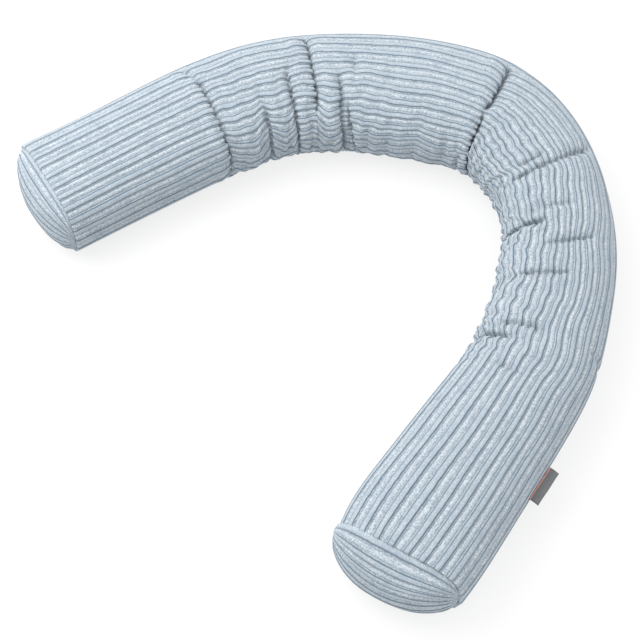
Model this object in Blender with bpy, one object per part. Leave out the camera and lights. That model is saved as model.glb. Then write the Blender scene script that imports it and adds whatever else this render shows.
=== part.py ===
"""Cuddle pillow: a long filled tube of wide and narrow wale corduroy, bent into a wide U on the floor.

Metres, +Z up. The origin is the middle of the underside of the whole pillow. One arm of the U runs
towards -X, its bend is at +Y and +X, and the other arm comes down towards -Y. The cloth is measured
by two numbers: along, in metres from the -X end to the -Y end, and round, the share of the way round
the tube, from 0 under the middle, through 0.25 on the outside of the U, 0.5 on top and 0.75 on the
inside.
"""

import bmesh
import bpy
import numpy as np

# The sleeve as it lies, in metres.
SLEEVE_LENGTH = 1.672
WALE_PAIRS = 22
WALE_PITCH = 0.0245
WIDE_SHARE = 0.62
WIDE_RISE = 0.0036
NARROW_RISE = 0.0028
VALLEY_DROP = 0.0030
WALE_POWER = 0.6

# The way the middle of the tube runs, seen from above: metres along, heading in degrees from +X.
ROUTE = (
    (0.000, 34.0),
    (0.240, 32.5),
    (0.300, 30.0),
    (0.380, 20.5),
    (0.460, 7.0),
    (0.520, -0.5),
    (0.650, -11.5),
    (0.720, -17.0),
    (0.820, -49.0),
    (0.940, -76.5),
    (1.010, -89.0),
    (1.100, -100.0),
    (1.220, -107.0),
    (1.320, -122.5),
    (1.400, -123.5),
    (1.672, -123.5),
)

# The stuffed body: metres along, width, height, and how square its top is (2 is an ellipse).
BODY = (
    (0.000, 0.196, 0.135, 2.6),
    (0.120, 0.198, 0.136, 2.35),
    (0.260, 0.205, 0.136, 2.35),
    (0.400, 0.206, 0.137, 2.35),
    (0.520, 0.208, 0.138, 2.35),
    (0.660, 0.213, 0.140, 2.35),
    (0.770, 0.206, 0.138, 2.35),
    (0.850, 0.191, 0.133, 2.35),
    (0.950, 0.176, 0.130, 2.35),
    (1.020, 0.174, 0.129, 2.35),
    (1.200, 0.185, 0.130, 2.35),
    (1.340, 0.194, 0.132, 2.35),
    (1.500, 0.206, 0.134, 2.35),
    (1.600, 0.212, 0.134, 2.5),
    (1.672, 0.208, 0.127, 2.9),
)
EASE_REACH = 0.030
BELOW_WIDEST = 0.48
PRESSED_IN = 0.003
UNDER_POWER = 2.5
NORMAL_SIDE = 0.002
EVEN_BODY = (0.200, 0.130, 2.35)

# The creases, a row each: where one crosses the start of its stretch, metres along and round; where
# it crosses the end of it; how deep it goes, how wide it is, how high the cloth stands on its near
# side (towards the -X end) and on its far side, and how far one side leans over it: the near side
# forward, or the far side back where the number is below nought.
CREASES = (
    # along, round, along, round, depth, width, near lip, far lip, lap
    (0.286, 0.33, 0.296, 0.45, 0.008, 0.009, 0.003, 0.001, 0.003),
    (0.296, 0.42, 0.276, 0.84, 0.014, 0.009, 0.005, 0.001, 0.006),
    (0.378, 0.60, 0.371, 0.84, 0.011, 0.009, 0.002, 0.003, -0.003),
    (0.434, 0.48, 0.439, 0.84, 0.012, 0.009, 0.002, 0.004, -0.005),
    (0.468, 0.33, 0.477, 0.66, 0.018, 0.009, 0.005, 0.001, 0.008),
    (0.520, 0.52, 0.531, 0.84, 0.014, 0.009, 0.003, 0.002, 0.004),
    (0.534, 0.60, 0.558, 0.84, 0.013, 0.009, 0.001, 0.003, -0.004),
    (0.545, 0.44, 0.547, 0.55, 0.005, 0.008, 0.001, 0.001, 0.000),
    (0.765, 0.34, 0.786, 0.58, 0.020, 0.010, 0.006, 0.000, 0.009),
    (0.786, 0.56, 0.817, 0.84, 0.018, 0.010, 0.005, 0.002, 0.008),
    (0.919, 0.50, 0.931, 0.62, 0.009, 0.009, 0.002, 0.001, 0.003),
    (0.922, 0.33, 0.953, 0.66, 0.011, 0.009, 0.003, 0.002, 0.003),
    (1.016, 0.44, 1.034, 0.64, 0.006, 0.009, 0.001, 0.001, 0.000),
    (1.050, 0.54, 1.062, 0.84, 0.014, 0.009, 0.003, 0.003, 0.004),
    (1.071, 0.38, 1.100, 0.56, 0.010, 0.009, 0.003, 0.001, 0.003),
    (1.143, 0.44, 1.161, 0.64, 0.010, 0.009, 0.002, 0.002, 0.003),
    (1.256, 0.47, 1.262, 0.64, 0.010, 0.009, 0.002, 0.002, -0.003),
    (1.289, 0.56, 1.287, 0.84, 0.016, 0.009, 0.003, 0.003, -0.005),
    (1.341, 0.47, 1.339, 0.60, 0.007, 0.009, 0.001, 0.001, 0.000),
)
CREASE_FADE = 0.05
CREASE_RUN_ON = 0.2
SHARP_SHARE = 0.6
SHARP_POWER = 1.5
BROAD_SPREAD = 2.4
LIP_PLACE = 1.8
LIP_SPREAD = 1.2

# The inner side of the bend is gathered into small puckers.
PUCKER_START = 0.25
PUCKER_END = 1.36
PUCKER_PITCH = 0.047
PUCKER_DEPTH = 0.005
PUCKER_FADE = 0.08
PUCKER_ROUND = 0.76
PUCKER_SPREAD = 0.09
PUCKER_POWER = 0.7
PUCKER_MEAN = 0.6
PUCKER_SLANT = 2.0
WANDERS = (
    # turn in radians, radians a metre, radians at the start
    (0.9, 11.0, 0.6),
    (0.7, 23.0, 0.0),
)

# The rings of the sleeve's mesh: how many there are, and how many more of them a metre of the bend
# and of a crease has than a metre of the smooth arms.
RING_COUNT = 90
BEND_TIMES = 2.4
CREASE_TIMES = 5.0
CREASE_RINGS_REACH = 0.014
CLOSEST_RINGS = 0.003
EDGE_ROLL = 0.005
EDGE_REACH = 0.012
ROLL_MARKS = (0.0, 0.25, 0.6, 1.0)
FLAT_ROUND = 0.215

# The sewn-in round ends and the gap between neighbouring pieces.
SEAM_GAP = 0.0003
LEFT_END_CROWN = 0.032
NEAR_END_CROWN = 0.050
END_EDGE = 0.004
END_CROWN_POWER = 2.2
END_RIM_POWER = 0.8
END_PAIRS = 7
END_COLUMNS = 18
END_RIB_FADE = 0.15

# The woven side label, left blank: a folded ribbon that stands out of the outer side.
LABEL_START = 1.418
LABEL_LENGTH = 0.060
LABEL_PROUD = 0.016
LABEL_THICKNESS = 0.0016
LABEL_VALLEY = 5
LABEL_SEAT = 0.0008
LABEL_DROOP = 0.25

CLOTH_BLUE = (0.52, 0.62, 0.70, 1.0)
LABEL_GREY = (0.25, 0.26, 0.27, 1.0)

STEP = 0.001
ALONG = np.linspace(0.0, SLEEVE_LENGTH, int(round(SLEEVE_LENGTH / STEP)) + 1)


def running_mean(values, reach):
    """Each value becomes the mean of those within reach of it, the ends carried on in a straight line."""
    half = int(round(reach / STEP))
    before = 2 * values[0] - values[half:0:-1]
    after = 2 * values[-1] - values[-2 : -half - 2 : -1]
    padded = np.concatenate([before, values, after])
    return np.convolve(padded, np.full(2 * half + 1, 1 / (2 * half + 1)), mode="valid")


def eased(rows, column):
    """A table's column at every step along: straight lines between its rows, their corners rounded off."""
    table = np.array(rows)
    straight = np.interp(ALONG, table[:, 0], table[:, column])
    return running_mean(running_mean(straight, EASE_REACH), EASE_REACH)


HEADING = np.radians(eased(ROUTE, 1))
WIDTH = eased(BODY, 1)
HEIGHT = eased(BODY, 2)
SQUARENESS = eased(BODY, 3)
MIDDLE_X = np.concatenate([[0.0], np.cumsum(np.cos(HEADING[:-1]))]) * STEP
MIDDLE_Y = np.concatenate([[0.0], np.cumsum(np.sin(HEADING[:-1]))]) * STEP


def signed_power(value, power):
    return np.sign(value) * np.abs(value) ** power


def section(turn, width, height, squareness):
    """A point of the cross-section: a rounded oval whose widest line lies a little below its middle.

    Its underside reaches PRESSED_IN below the floor, and is cut flat there later.
    """
    angle = 2 * np.pi * turn
    down = np.cos(angle)
    power = np.where(down > 0, UNDER_POWER, squareness)
    across = width / 2 * signed_power(np.sin(angle), 2 / power)
    reach = np.where(down > 0, -(BELOW_WIDEST * height + PRESSED_IN), (1 - BELOW_WIDEST) * height)
    return across, BELOW_WIDEST * height + reach * np.abs(down) ** (2 / power)


TURNS = np.linspace(0.0, 1.0, 2001)
EVEN_ROUND = np.concatenate([[0.0], np.cumsum(np.hypot(*np.diff(section(TURNS, *EVEN_BODY))))])
EVEN_ROUND /= EVEN_ROUND[-1]


def body_at(along):
    """Width, height and squareness of the body at a metre mark."""
    return [np.interp(along, ALONG, column) for column in (WIDTH, HEIGHT, SQUARENESS)]


def even_section(around, along):
    """The cross-section by the share of cloth gone round, and the direction that faces out of it."""
    body = body_at(along)
    ahead = section(np.interp((around + NORMAL_SIDE) % 1.0, EVEN_ROUND, TURNS), *body)
    behind = section(np.interp((around - NORMAL_SIDE) % 1.0, EVEN_ROUND, TURNS), *body)
    run_across = ahead[0] - behind[0]
    run_up = ahead[1] - behind[1]
    run = np.hypot(run_across, run_up)
    across, up = section(np.interp(around % 1.0, EVEN_ROUND, TURNS), *body)
    return across, up, run_up / run, -run_across / run


def wale_rise(pairs):
    """Height of the ribs after so many wale pairs: a wide rounded ridge, then a narrow one."""
    share = pairs % 1.0
    wide = np.sin(np.pi * np.clip(share / WIDE_SHARE, 0, 1)) ** WALE_POWER * WIDE_RISE
    narrow = np.sin(np.pi * np.clip((share - WIDE_SHARE) / (1 - WIDE_SHARE), 0, 1)) ** WALE_POWER
    return np.where(share < WIDE_SHARE, wide, narrow * NARROW_RISE) - VALLEY_DROP


def creases(along, around):
    """Rise and forward lean of the cloth at the creases, each fading at its two ends.

    A crease is a sharp trough in a broad one, with a soft lip on either side of it.
    """
    rise = np.zeros(np.broadcast(along, around).shape)
    lean = np.zeros_like(rise)
    for start, round_start, end, round_end, depth, width, near_lip, far_lip, lap in CREASES:
        share = (around - round_start) / (round_end - round_start)
        offset = (along - start - (end - start) * np.clip(share, -CREASE_RUN_ON, 1 + CREASE_RUN_ON)) / width
        within = np.clip((around - round_start) / CREASE_FADE, 0, 1)
        within *= np.clip((round_end - around) / CREASE_FADE, 0, 1)
        within *= within * (3 - 2 * within)
        sharp = SHARP_SHARE * np.exp(-(np.abs(offset) ** SHARP_POWER))
        broad = (1 - SHARP_SHARE) * np.exp(-((offset / BROAD_SPREAD) ** 2))
        near = np.exp(-(((offset + LIP_PLACE) / LIP_SPREAD) ** 2))
        far = np.exp(-(((offset - LIP_PLACE) / LIP_SPREAD) ** 2))
        rise += within * (near_lip * near + far_lip * far - depth * (sharp + broad))
        lean += within * lap * (near if lap > 0 else far)
    return rise, lean


def pucker_rise(along, around):
    """Small gathers across the inner side of the bend, uneven in pitch, deepest at the inside line."""
    ends = np.clip((along - PUCKER_START) / PUCKER_FADE, 0, 1)
    ends = ends * np.clip((PUCKER_END - along) / PUCKER_FADE, 0, 1)
    inner = np.exp(-(((around - PUCKER_ROUND) / PUCKER_SPREAD) ** 2))
    phase = np.pi * along / PUCKER_PITCH + PUCKER_SLANT * around
    for turn, pace, start in WANDERS:
        phase = phase + turn * np.sin(pace * along + start)
    return ends * inner * PUCKER_DEPTH * (np.abs(np.sin(phase)) ** PUCKER_POWER - PUCKER_MEAN)


def edge_roll(along):
    """How far the cloth has turned in near either sewn end: a quarter round of depth EDGE_ROLL."""
    from_end = np.clip(np.minimum(along, SLEEVE_LENGTH - along) / EDGE_REACH, 0, 1)
    return EDGE_ROLL * (1 - np.sqrt(1 - (1 - from_end) ** 2))


def place(along, across, up, forward=0.0):
    """World point: so far across the route, so far up, and so far ahead along it, never under the floor."""
    heading = np.interp(along, ALONG, HEADING)
    x = np.interp(along, ALONG, MIDDLE_X) + forward * np.cos(heading) - across * np.sin(heading)
    y = np.interp(along, ALONG, MIDDLE_Y) + forward * np.sin(heading) + across * np.cos(heading)
    x, y, up = np.broadcast_arrays(x, y, np.maximum(up, 0.0))
    return np.stack([x, y, up], axis=-1)


def sleeve_point(along, around, proud=0.0):
    """A point of the sleeve: its cross-section with ribs, creases, puckers and turned-in ends."""
    across, up, out_across, out_up = even_section(around, along)
    rise, lean = creases(along, around)
    rise = rise + wale_rise(around * WALE_PAIRS) + pucker_rise(along, around)
    rise = rise - edge_roll(along) + proud
    return place(along, across + out_across * rise, up + out_up * rise, lean)


def ring_stations():
    """Metre marks of the mesh's rings, closer in the bend, closest at creases and turned-in ends."""
    roll = EDGE_REACH * np.array(ROLL_MARKS)
    roll = np.concatenate([roll, SLEEVE_LENGTH - roll])
    density = np.where((ALONG > PUCKER_START) & (ALONG < PUCKER_END), BEND_TIMES, 1.0)
    for crease in CREASES:
        middle = (crease[0] + crease[2]) / 2
        density = density + CREASE_TIMES * np.exp(-(((ALONG - middle) / CREASE_RINGS_REACH) ** 2))
    share = np.cumsum(density) / np.sum(density)
    spread = np.interp(np.linspace(0, 1, RING_COUNT), share, ALONG)
    marks = np.unique(np.concatenate([roll, spread, [LABEL_START, LABEL_START + LABEL_LENGTH]]))
    kept = [marks[0]]
    for mark in marks[1:]:
        if mark in roll or mark - kept[-1] > CLOSEST_RINGS:
            kept.append(mark)
    return np.array(kept)


def round_stations():
    """Shares round the tube: both sides and the top of every wale, and fewer where it lies flat."""
    stations = []
    for pair in range(WALE_PAIRS):
        for share in (0.0, WIDE_SHARE / 2, WIDE_SHARE, (1 + WIDE_SHARE) / 2):
            around = (pair + share) / WALE_PAIRS
            from_bottom = min(around, 1 - around)
            if from_bottom > FLAT_ROUND or share == WIDE_SHARE / 2:
                stations.append(around)
    return np.array(stations)


def finish(name, points, faces, colour, roughness):
    """An object of these points and faces, outward facing, smooth shaded, with its own material."""
    shape = bmesh.new()
    corners = [shape.verts.new(point) for point in points]
    for face in faces:
        distinct = list(dict.fromkeys(face))
        if len(distinct) > 2:
            shape.faces.new([corners[index] for index in distinct])
    bmesh.ops.remove_doubles(shape, verts=shape.verts, dist=1e-6)
    bmesh.ops.recalc_face_normals(shape, faces=shape.faces)
    bmesh.ops.triangulate(shape, faces=shape.faces)
    mesh = bpy.data.meshes.new(name)
    shape.to_mesh(mesh)
    shape.free()
    mesh.shade_smooth()
    material = bpy.data.materials.new(name)
    material.use_nodes = True
    shader = material.node_tree.nodes["Principled BSDF"]
    shader.inputs["Base Color"].default_value = colour
    shader.inputs["Roughness"].default_value = roughness
    shader.inputs["Metallic"].default_value = 0.0
    mesh.materials.append(material)
    thing = bpy.data.objects.new(name, mesh)
    bpy.context.scene.collection.objects.link(thing)
    return thing


def grid_faces(rows, columns, closed):
    """Four-sided faces of a grid numbered row by row. A closed grid joins its last column to its first."""
    faces = []
    for row in range(rows - 1):
        for column in range(columns if closed else columns - 1):
            beside = (column + 1) % columns
            here = row * columns
            faces.append((here + column, here + beside, here + columns + beside, here + columns + column))
    return faces


def make_sleeve():
    """The tube of cloth and its filling, closed by a flat face at either end."""
    rings = ring_stations()
    rounds = round_stations()
    points = sleeve_point(rings[:, None], rounds[None, :]).reshape(-1, 3)
    faces = grid_faces(len(rings), len(rounds), closed=True)
    for ring in (0, len(rings) - 1):
        middle = len(points)
        hub = points[ring * len(rounds) : (ring + 1) * len(rounds)].mean(axis=0)
        points = np.vstack([points, hub])
        for column in range(len(rounds)):
            beside = (column + 1) % len(rounds)
            faces.append((ring * len(rounds) + column, ring * len(rounds) + beside, middle))
    return finish("sleeve", points, faces, CLOTH_BLUE, 0.95)


def make_end(name, along, outward, crown):
    """A round end panel: a domed disc, flat behind, sewn into the sleeve's end.

    Its wales run from side to side and close together at both sides. The first one, a wide one, lies
    along the seam at the top.
    """
    shares = np.array([0.0, WIDE_SHARE / 2, WIDE_SHARE, (1 + WIDE_SHARE) / 2])
    pairs = np.append((np.arange(END_PAIRS)[:, None] + shares).ravel(), END_PAIRS)
    level = np.sin(np.pi / 2 * (1 - 2 * pairs / END_PAIRS))[:, None]
    disc_across = np.sin(np.linspace(-np.pi / 2, np.pi / 2, END_COLUMNS))[None, :]
    disc_up = level * np.sqrt(1 - disc_across**2)
    from_middle = np.clip(np.hypot(disc_up, disc_across), 0, 1)
    turn = np.arctan2(disc_across, -disc_up) / (2 * np.pi)
    rim_across, rim_up, out_across, out_up = even_section(np.interp(turn % 1.0, TURNS, EVEN_ROUND), along)
    rim_across = rim_across - out_across * EDGE_ROLL
    rim_up = np.maximum(rim_up - out_up * EDGE_ROLL, 0.0)
    centre_up = BELOW_WIDEST * body_at(along)[1]
    across = from_middle * rim_across
    up = centre_up + from_middle * (rim_up - centre_up)
    dome = crown * (1 - from_middle**END_CROWN_POWER) ** END_RIM_POWER
    ribs = wale_rise(pairs)[:, None] * np.clip((1 - from_middle) / END_RIB_FADE, 0, 1)
    front = place(along, across, up, outward * (SEAM_GAP + END_EDGE + dome + ribs)).reshape(-1, 3)
    rows, columns = from_middle.shape
    last = (rows - 1) * columns
    edge = list(range(columns)) + list(range(last + columns - 2, last, -1))
    back = place(along, across.ravel()[edge], up.ravel()[edge], outward * SEAM_GAP)
    faces = grid_faces(rows, columns, closed=False)
    first = len(front)
    count = len(edge)
    for index in range(count):
        beside = (index + 1) % count
        faces.append((edge[index], edge[beside], first + beside, first + index))
    for column in range(columns - 1):
        below = (count - column) % count
        faces.append((first + column, first + column + 1, first + count - column - 1, first + below))
    return finish(name, np.vstack([front, back]), faces, CLOTH_BLUE, 0.95)


def make_label():
    """A blank ribbon folded double, its open edge held in a valley between two wales."""
    around = (LABEL_VALLEY + WIDE_SHARE) / WALE_PAIRS
    stations = np.array([LABEL_START, LABEL_START + LABEL_LENGTH])
    half = LABEL_THICKNESS / 2
    fold = np.linspace(-np.pi / 2, np.pi / 2, 5)
    out = np.concatenate([[0.0, LABEL_PROUD / 2], LABEL_PROUD - half + half * np.cos(fold)])
    out = np.concatenate([out, [LABEL_PROUD / 2, 0.0]])
    side = np.concatenate([[-half, -half], half * np.sin(fold), [half, half]])
    foot = sleeve_point(stations, around, LABEL_SEAT)
    tip = sleeve_point(stations, around, LABEL_SEAT + 0.01)
    away = (tip - foot) / np.linalg.norm(tip - foot, axis=1, keepdims=True)
    run = (foot[1] - foot[0]) / np.linalg.norm(foot[1] - foot[0])
    away = away.mean(axis=0)
    away -= run * away.dot(run)
    away /= np.linalg.norm(away)
    beside = np.cross(run, away)
    droop = -np.sign(beside[2]) * LABEL_DROOP * LABEL_PROUD * (out / LABEL_PROUD) ** 2
    shape = away * out[:, None] + beside * (side + droop)[:, None]
    points = (foot[:, None, :] + shape[None, :, :]).reshape(-1, 3)
    faces = grid_faces(2, len(out), closed=True)
    faces.append(tuple(range(len(out))))
    faces.append(tuple(range(len(out), 2 * len(out))))
    return finish("side_label", points, faces, LABEL_GREY, 0.8)


def centre_on_floor(things):
    """Moves every mesh so that the origin is the middle of the underside of the whole."""
    corners = np.concatenate([[vertex.co[:] for vertex in thing.data.vertices] for thing in things])
    middle = (corners.min(axis=0) + corners.max(axis=0)) / 2
    for thing in things:
        for vertex in thing.data.vertices:
            vertex.co.x -= middle[0]
            vertex.co.y -= middle[1]
    return middle


for old in list(bpy.data.objects):
    bpy.data.objects.remove(old)
pieces = [
    make_sleeve(),
    make_end("left_end_panel", 0.0, -1.0, LEFT_END_CROWN),
    make_end("near_end_panel", SLEEVE_LENGTH, 1.0, NEAR_END_CROWN),
    make_label(),
]
route_start = -centre_on_floor(pieces)
print("The route starts at", [round(x, 4) for x in route_start[:2]])
for piece in pieces:
    print(piece.name, len(piece.data.polygons), "triangles", [round(x, 4) for x in piece.dimensions])
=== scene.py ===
import bmesh
import bpy
import numpy as np
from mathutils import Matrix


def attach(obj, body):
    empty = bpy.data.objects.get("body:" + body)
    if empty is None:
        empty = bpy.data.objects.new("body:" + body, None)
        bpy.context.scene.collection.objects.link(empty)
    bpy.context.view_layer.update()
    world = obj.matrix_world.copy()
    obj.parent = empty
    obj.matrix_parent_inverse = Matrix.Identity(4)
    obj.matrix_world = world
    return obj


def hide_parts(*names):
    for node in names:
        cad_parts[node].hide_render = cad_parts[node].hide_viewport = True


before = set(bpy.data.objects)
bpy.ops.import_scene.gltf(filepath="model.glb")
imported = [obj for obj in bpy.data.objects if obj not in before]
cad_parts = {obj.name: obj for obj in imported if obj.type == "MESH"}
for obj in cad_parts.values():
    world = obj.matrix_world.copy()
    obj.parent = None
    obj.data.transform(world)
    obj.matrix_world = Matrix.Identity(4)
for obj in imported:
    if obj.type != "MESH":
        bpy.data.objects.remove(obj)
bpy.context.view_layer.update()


# Camera, floor and light
# The camera stands before the near arm and looks down on the floor inside the U. The floor is one
# white sheet, lit from within too, so that shadows on it stay pale. The light is soft and comes from
# all round, with a large lamp over the left arm.
CAMERA_TARGET = (0.0134, 0.0018, 0.0)
CAMERA_DISTANCE = 2.70
CAMERA_ELEVATION = np.radians(58.0)
CAMERA_LENS = 97.3
FLOOR_HALF = 6.0
FLOOR_GREY = (0.15, 0.15, 0.15, 1.0)
FLOOR_GLOW = 0.76
SKY_WHITE = (1.0, 1.0, 1.0, 1.0)
SKY_STRENGTH = 1.62
LAMP_PLACE = (-1.3, 0.5, 1.9)
LAMP_SIZE = 2.2
LAMP_POWER = 62


def make_camera():
    """The camera: back from its target along the line of sight, tilted down by the elevation."""
    lens = bpy.data.cameras.new("camera")
    lens.sensor_width = 36.0
    lens.lens = CAMERA_LENS
    camera = bpy.data.objects.new("camera", lens)
    back = np.array([0.0, -np.cos(CAMERA_ELEVATION), np.sin(CAMERA_ELEVATION)])
    camera.location = np.array(CAMERA_TARGET) + CAMERA_DISTANCE * back
    camera.rotation_euler = (np.pi / 2 - CAMERA_ELEVATION, 0.0, 0.0)
    bpy.context.scene.collection.objects.link(camera)
    bpy.context.scene.camera = camera


def make_floor():
    """The floor: one large flat square at height nought, matt, grey under its own white glow."""
    mesh = bpy.data.meshes.new("floor")
    half = FLOOR_HALF
    mesh.from_pydata(
        [(-half, -half, 0.0), (half, -half, 0.0), (half, half, 0.0), (-half, half, 0.0)], [], [(0, 1, 2, 3)]
    )
    floor = bpy.data.objects.new("floor", mesh)
    bpy.context.scene.collection.objects.link(floor)
    material = bpy.data.materials.new("white floor")
    material.use_nodes = True
    shader = material.node_tree.nodes["Principled BSDF"]
    shader.inputs["Base Color"].default_value = FLOOR_GREY
    shader.inputs["Emission Color"].default_value = SKY_WHITE
    shader.inputs["Emission Strength"].default_value = FLOOR_GLOW
    shader.inputs["Roughness"].default_value = 0.8
    shader.inputs["Specular IOR Level"].default_value = 0.0
    mesh.materials.append(material)


def make_light():
    """An even white sky and one square lamp that faces the object."""
    world = bpy.data.worlds.new("studio")
    bpy.context.scene.world = world
    world.use_nodes = True
    sky = world.node_tree.nodes["Background"]
    sky.inputs["Color"].default_value = SKY_WHITE
    sky.inputs["Strength"].default_value = SKY_STRENGTH
    lamp = bpy.data.lights.new("lamp", "AREA")
    lamp.shape = "SQUARE"
    lamp.size = LAMP_SIZE
    lamp.energy = LAMP_POWER
    holder = bpy.data.objects.new("lamp", lamp)
    holder.location = LAMP_PLACE
    away = np.array(LAMP_PLACE) / np.linalg.norm(LAMP_PLACE)
    tilt = np.arccos(away[2])
    turn = np.arctan2(away[1], away[0]) + np.pi / 2
    holder.rotation_euler = (tilt, 0.0, turn)
    bpy.context.scene.collection.objects.link(holder)
    bpy.context.scene.view_settings.view_transform = "Standard"


make_camera()
make_floor()
make_light()


# Sleeve
# One long tube of plush corduroy over a soft filling, cut with the wales running along it, turned in
# at both ends and bent into a U, so that its inner side is gathered into folds. The cloth is measured
# in metres along from the left end and in shares round: 0 underneath, 0.25 outside, 0.5 on top.
SLEEVE_LENGTH = 1.672
ROUTE_START = (-0.4178, 0.1879)
WALE_PAIRS = 24
WIDE_SHARE = 0.62
WIDE_RISE = 0.0040
NARROW_RISE = 0.0029
VALLEY_DROP = 0.0031
WALE_POWER = 0.50
ROUTE = (
    # metres along, heading in degrees
    (0.000, 34.0),
    (0.240, 32.5),
    (0.300, 30.0),
    (0.380, 20.5),
    (0.460, 7.0),
    (0.520, -0.5),
    (0.650, -11.5),
    (0.720, -17.0),
    (0.820, -49.0),
    (0.940, -76.5),
    (1.010, -89.0),
    (1.100, -100.0),
    (1.220, -107.0),
    (1.320, -122.5),
    (1.400, -123.5),
    (1.672, -123.5),
)
BODY = (
    # metres along, half width on the outer and on the inner side, height, squareness of the top
    (0.000, 0.0935, 0.0990, 0.135, 2.80),
    (0.120, 0.0945, 0.1020, 0.136, 2.35),
    (0.260, 0.0990, 0.1055, 0.136, 2.35),
    (0.400, 0.0995, 0.1065, 0.137, 2.35),
    (0.520, 0.0990, 0.1090, 0.138, 2.35),
    (0.600, 0.1020, 0.1130, 0.139, 2.35),
    (0.660, 0.1030, 0.1150, 0.140, 2.35),
    (0.720, 0.1020, 0.1140, 0.139, 2.35),
    (0.770, 0.1015, 0.1080, 0.138, 2.35),
    (0.850, 0.0915, 0.1055, 0.133, 2.35),
    (0.900, 0.0868, 0.1028, 0.131, 2.35),
    (0.950, 0.0840, 0.0960, 0.130, 2.35),
    (1.020, 0.0845, 0.0900, 0.129, 2.35),
    (1.070, 0.0887, 0.0950, 0.129, 2.35),
    (1.200, 0.0917, 0.1000, 0.130, 2.35),
    (1.260, 0.0945, 0.1035, 0.131, 2.35),
    (1.340, 0.0980, 0.1050, 0.132, 2.35),
    (1.420, 0.1010, 0.1100, 0.133, 2.35),
    (1.500, 0.1035, 0.1130, 0.134, 2.35),
    (1.600, 0.1060, 0.1160, 0.134, 2.60),
    (1.640, 0.1055, 0.1130, 0.131, 3.00),
    (1.672, 0.1030, 0.1040, 0.127, 3.40),
)
EASE_REACH = 0.030
BELOW_WIDEST = 0.48
PRESSED_IN = 0.003
UNDER_POWER = 2.5
ROUND_BODY = (0.100, 0.100, 0.130, 2.35)
SQUARE_BODY = (0.104, 0.108, 0.128, 3.40)
NORMAL_SIDE = 0.002
CREASES = (
    # along and round at its start, along and round at its end, depth, width, near lip, far lip, lap
    (0.286, 0.33, 0.296, 0.45, 0.008, 0.009, 0.003, 0.001, 0.003),
    (0.296, 0.42, 0.276, 0.84, 0.014, 0.009, 0.005, 0.001, 0.006),
    (0.378, 0.60, 0.371, 0.84, 0.011, 0.009, 0.002, 0.003, -0.003),
    (0.434, 0.48, 0.439, 0.84, 0.012, 0.009, 0.002, 0.004, -0.005),
    (0.468, 0.33, 0.477, 0.66, 0.018, 0.009, 0.005, 0.001, 0.008),
    (0.520, 0.52, 0.531, 0.84, 0.014, 0.009, 0.003, 0.002, 0.004),
    (0.534, 0.60, 0.558, 0.84, 0.013, 0.009, 0.001, 0.003, -0.004),
    (0.545, 0.44, 0.547, 0.55, 0.005, 0.008, 0.001, 0.001, 0.000),
    (0.765, 0.34, 0.786, 0.58, 0.020, 0.010, 0.006, 0.000, 0.009),
    (0.786, 0.56, 0.817, 0.84, 0.018, 0.010, 0.005, 0.002, 0.008),
    (0.919, 0.50, 0.931, 0.62, 0.009, 0.009, 0.002, 0.001, 0.003),
    (0.922, 0.33, 0.953, 0.66, 0.011, 0.009, 0.003, 0.002, 0.003),
    (1.016, 0.44, 1.034, 0.64, 0.006, 0.009, 0.001, 0.001, 0.000),
    (1.050, 0.54, 1.062, 0.84, 0.014, 0.009, 0.003, 0.003, 0.004),
    (1.071, 0.38, 1.100, 0.56, 0.010, 0.009, 0.003, 0.001, 0.003),
    (1.143, 0.44, 1.161, 0.64, 0.010, 0.009, 0.002, 0.002, 0.003),
    (1.250, 0.20, 1.256, 0.36, 0.004, 0.006, 0.001, 0.000, 0.000),
    (1.256, 0.47, 1.262, 0.64, 0.010, 0.009, 0.002, 0.002, -0.003),
    (1.289, 0.56, 1.287, 0.84, 0.016, 0.009, 0.003, 0.003, -0.005),
    (1.341, 0.47, 1.339, 0.60, 0.007, 0.009, 0.001, 0.001, 0.000),
)
CREASE_FADE = 0.05
CREASE_RUN_ON = 0.2
SHARP_SHARE = 0.65
SHARP_POWER = 1.5
SHARP_SPREAD = 0.42
BROAD_SPREAD = 2.0
LIP_PLACE = 1.6
LIP_SPREAD = 1.1
LAP_PLACE = 0.7
LAP_SPREAD = 0.55
PUCKER_START = 0.25
PUCKER_END = 1.36
PUCKER_FADE = 0.08
PUCKER_PITCH = 0.047
PUCKER_DEPTH = 0.005
PUCKER_ROUND = 0.76
PUCKER_SPREAD = 0.09
PUCKER_POWER = 0.7
PUCKER_MEAN = 0.6
PUCKER_SLANT = 2.0
WANDERS = (
    # turn in radians, radians a metre, radians at the start
    (0.9, 11.0, 0.6),
    (0.7, 23.0, 0.0),
)
SLOW_WAVES = (
    # shift in wale pairs, metres a wave, waves round the tube
    (0.06, 0.31, 2.0),
    (0.05, 0.13, -3.0),
)
ARM_SHARE = 0.35
DRAWN_IN = (
    # metres along, how much closer the wales lie on the inner side
    (0.000, 0.05),
    (0.250, 0.08),
    (0.320, 0.15),
    (0.750, 0.17),
    (0.900, 0.10),
    (1.300, 0.10),
    (1.400, 0.02),
    (1.672, 0.00),
)
DRAWN_FROM = 0.12
STEADY_END = 0.10
SWAYS = (
    # metres along, round, reach along, reach round, shift in wale pairs
    (0.330, 0.35, 0.030, 0.10, 0.30),
    (0.480, 0.42, 0.025, 0.12, -0.35),
    (0.790, 0.36, 0.030, 0.12, 0.35),
    (0.955, 0.42, 0.030, 0.12, -0.30),
    (1.080, 0.36, 0.030, 0.12, 0.25),
    (1.235, 0.40, 0.030, 0.12, 0.20),
    (1.300, 0.42, 0.030, 0.14, -0.22),
)
RUMPLED = (
    # metres along, how rumpled the inner half is
    (0.260, 0.0),
    (0.300, 0.7),
    (0.570, 0.7),
    (0.640, 0.2),
    (0.750, 0.2),
    (0.830, 1.0),
    (1.310, 1.0),
    (1.370, 0.0),
)
RUMPLE_ROUND = (0.30, 0.66)
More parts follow.
